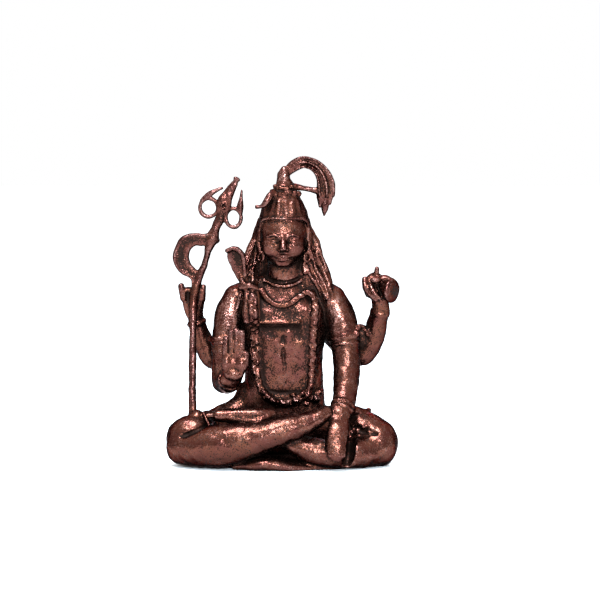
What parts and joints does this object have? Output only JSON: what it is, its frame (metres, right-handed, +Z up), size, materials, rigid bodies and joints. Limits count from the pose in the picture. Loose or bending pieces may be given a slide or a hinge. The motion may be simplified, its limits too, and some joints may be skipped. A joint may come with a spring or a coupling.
{
  "type": "shiva figure",
  "caption": "Small one-piece cast metal figure of Shiva seated cross-legged with four arms, holding a trident and a drum; it stands on its flat underside.",
  "frame": {"origin": "middle of the flat underside of the seat, where the figure stands", "axes": "+Z up through the head, the figure faces -Y, and +X is the viewer's right (the figure's left hand side, with the drum)"},
  "size_m": [0.0567, 0.0301, 0.0748],
  "materials": {
    "antique_copper": "copper-coloured cast metal with dark antique patina in the hollows and worn bright highs, satin to glossy and grainy"
  },
  "bodies": {
    "root": {"shiva_figure": "antique_copper"}
  },
  "joints": []
}
